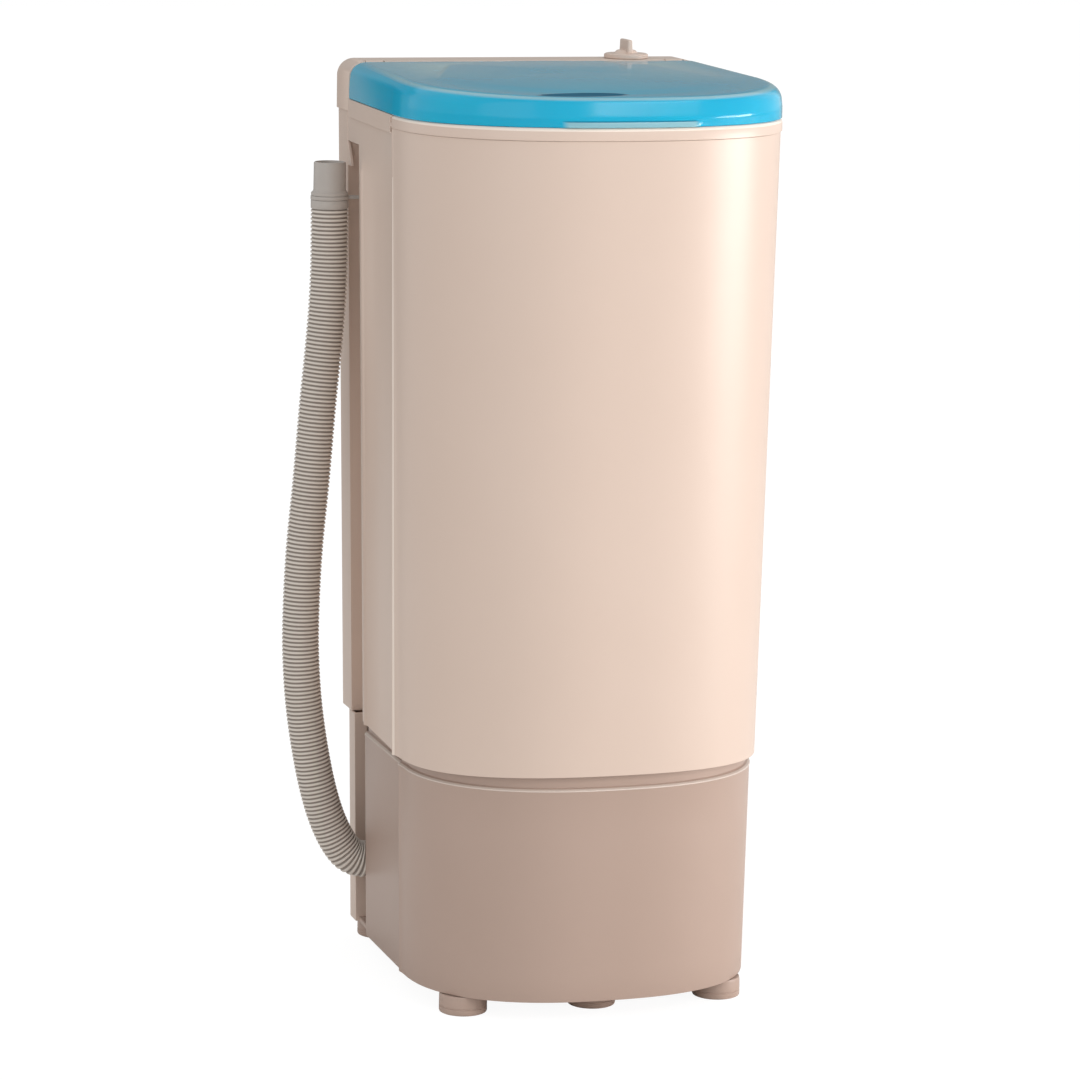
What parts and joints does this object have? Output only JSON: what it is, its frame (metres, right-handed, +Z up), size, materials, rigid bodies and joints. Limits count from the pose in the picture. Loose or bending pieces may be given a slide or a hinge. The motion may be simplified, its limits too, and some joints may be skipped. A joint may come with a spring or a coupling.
{
  "type": "laundry spin dryer",
  "caption": "Free-standing laundry spin dryer with a rounded front, hinged clear lid, perforated basket, timer knob, ribbed side drain hose and feet.",
  "frame": {"origin": "on the floor, under the middle of the casing", "axes": "+Z up, the rounded front faces -Y, the drain hose is on the -X side"},
  "size_m": [0.3955, 0.37, 0.823],
  "materials": {
    "cream_plastic": "moulded, satin gloss",
    "taupe_plastic": "moulded, satin",
    "lid_plastic": "clear tinted, polished",
    "hose_plastic": "blow-moulded ribs",
    "tub_plastic": "moulded",
    "basket_steel": "perforated sheet",
    "bright_steel": "turned and plated",
    "motor_paint": "painted and stamped",
    "seal_rubber": "moulded"
  },
  "bodies": {
    "casing": {"body_shell": "cream_plastic", "rear_panel": "cream_plastic", "service_cover": "cream_plastic", "top_frame": "cream_plastic", "side_trim_left": "cream_plastic", "side_trim_right": "cream_plastic", "base": "taupe_plastic", "foot_1": "taupe_plastic", "foot_2": "taupe_plastic", "foot_3": "taupe_plastic", "foot_4": "taupe_plastic", "foot_5": "taupe_plastic", "drain_hose": "hose_plastic", "hose_cuff": "hose_plastic", "hose_hook": "hose_plastic", "hose_gland": "hose_plastic", "outer_tub": "tub_plastic", "drain_pipe": "tub_plastic", "lid_switch": "tub_plastic", "timer_body": "tub_plastic", "motor_capacitor": "tub_plastic", "hinge_pin_left": "bright_steel", "hinge_pin_right": "bright_steel", "bearing_lower": "bright_steel", "bearing_upper": "bright_steel", "brake_post": "bright_steel", "panel_screw_left_upper": "bright_steel", "panel_screw_right_upper": "bright_steel", "panel_screw_left_lower": "bright_steel", "panel_screw_right_lower": "bright_steel", "cover_screw_left": "bright_steel", "cover_screw_right": "bright_steel", "motor_housing": "motor_paint", "motor_plate": "motor_paint", "motor_stator": "motor_paint", "motor_spring_1": "motor_paint", "motor_spring_2": "motor_paint", "motor_spring_3": "motor_paint", "shaft_seal": "seal_rubber", "brake_cable": "seal_rubber", "cord_inlet": "seal_rubber"},
    "lid": {"lid": "lid_plastic", "lid_arm_left": "cream_plastic", "lid_arm_right": "cream_plastic"},
    "timer": {"timer_knob": "cream_plastic", "timer_shaft": "bright_steel"},
    "basket": {"spin_basket": "basket_steel", "basket_hub": "tub_plastic", "drive_shaft": "bright_steel", "motor_rotor": "motor_paint", "brake_drum": "motor_paint"},
    "brake": {"brake_lever": "motor_paint"},
    "plunger": {"switch_plunger": "tub_plastic"}
  },
  "joints": [
    {"name": "lid_hinge", "type": "hinge", "parent": "casing", "child": "lid", "pos_m": [0, 0.141, 0.8025], "axis": [-1, 0, 0], "range_deg": [0, 95]},
    {"name": "timer_turn", "type": "hinge", "parent": "casing", "child": "timer", "pos_m": [0.101, 0.16, 0.806], "axis": [0, 0, 1], "range_deg": [-300, 0]},
    {"name": "basket_spin", "type": "hinge", "parent": "casing", "child": "basket", "pos_m": [0, -0.022, 0.34], "axis": [0, 0, 1], "continuous": true},
    {"name": "brake_lever_turn", "type": "hinge", "parent": "casing", "child": "brake", "pos_m": [0.054, -0.022, 0.21], "axis": [0, 0, 1], "range_deg": [0, 3]},
    {"name": "switch_plunger_slide", "type": "slide", "parent": "casing", "child": "plunger", "axis": [0, 0, 1], "range_m": [0, 0.003]}
  ],
  "couplings": [
    {"joint": "brake_lever_turn", "follows": "lid_hinge", "ratio": 0.0315},
    {"joint": "switch_plunger_slide", "follows": "lid_hinge", "m_per_rad": 0.0018}
  ]
}
